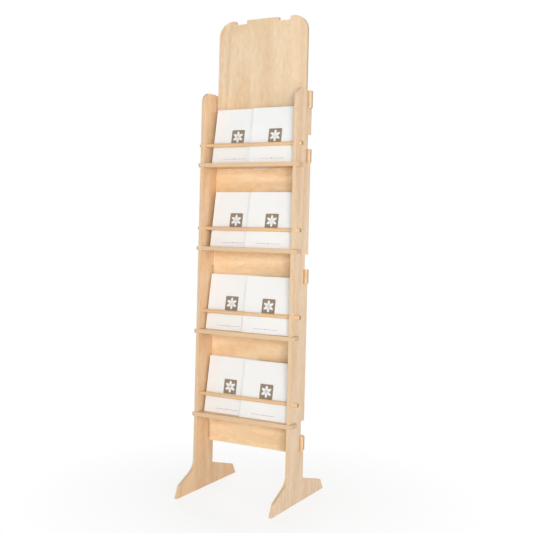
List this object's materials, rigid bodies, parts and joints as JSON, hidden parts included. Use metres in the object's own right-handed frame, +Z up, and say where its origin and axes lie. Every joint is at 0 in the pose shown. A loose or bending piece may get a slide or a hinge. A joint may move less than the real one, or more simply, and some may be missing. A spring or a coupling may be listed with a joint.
{
  "type": "leaflet display stand",
  "caption": "Tall knock-down birch plywood floor stand with shelves, dowel rails and piles of square leaflets.",
  "frame": {"origin": "on the floor, midway between the side panels and midway along the feet", "axes": "+Z up, +X to the right of someone facing the shelves, +Y from the front towards the back"},
  "size_m": [0.438, 0.4173, 1.775],
  "materials": {
    "birch_plywood": "satin",
    "birch_dowel": "satin",
    "leaflet_paper": "matte"
  },
  "bodies": {
    "root": {"left_side_panel": "birch_plywood", "right_side_panel": "birch_plywood", "lower_back_panel": "birch_plywood", "header_panel": "birch_plywood", "shelf_1": "birch_plywood", "rail_1": "birch_dowel", "left_leaflets_1": "leaflet_paper", "right_leaflets_1": "leaflet_paper", "shelf_2": "birch_plywood", "rail_2": "birch_dowel", "left_leaflets_2": "leaflet_paper", "right_leaflets_2": "leaflet_paper", "shelf_3": "birch_plywood", "rail_3": "birch_dowel", "left_leaflets_3": "leaflet_paper", "right_leaflets_3": "leaflet_paper", "shelf_4": "birch_plywood", "rail_4": "birch_dowel", "left_leaflets_4": "leaflet_paper", "right_leaflets_4": "leaflet_paper"}
  },
  "joints": []
}
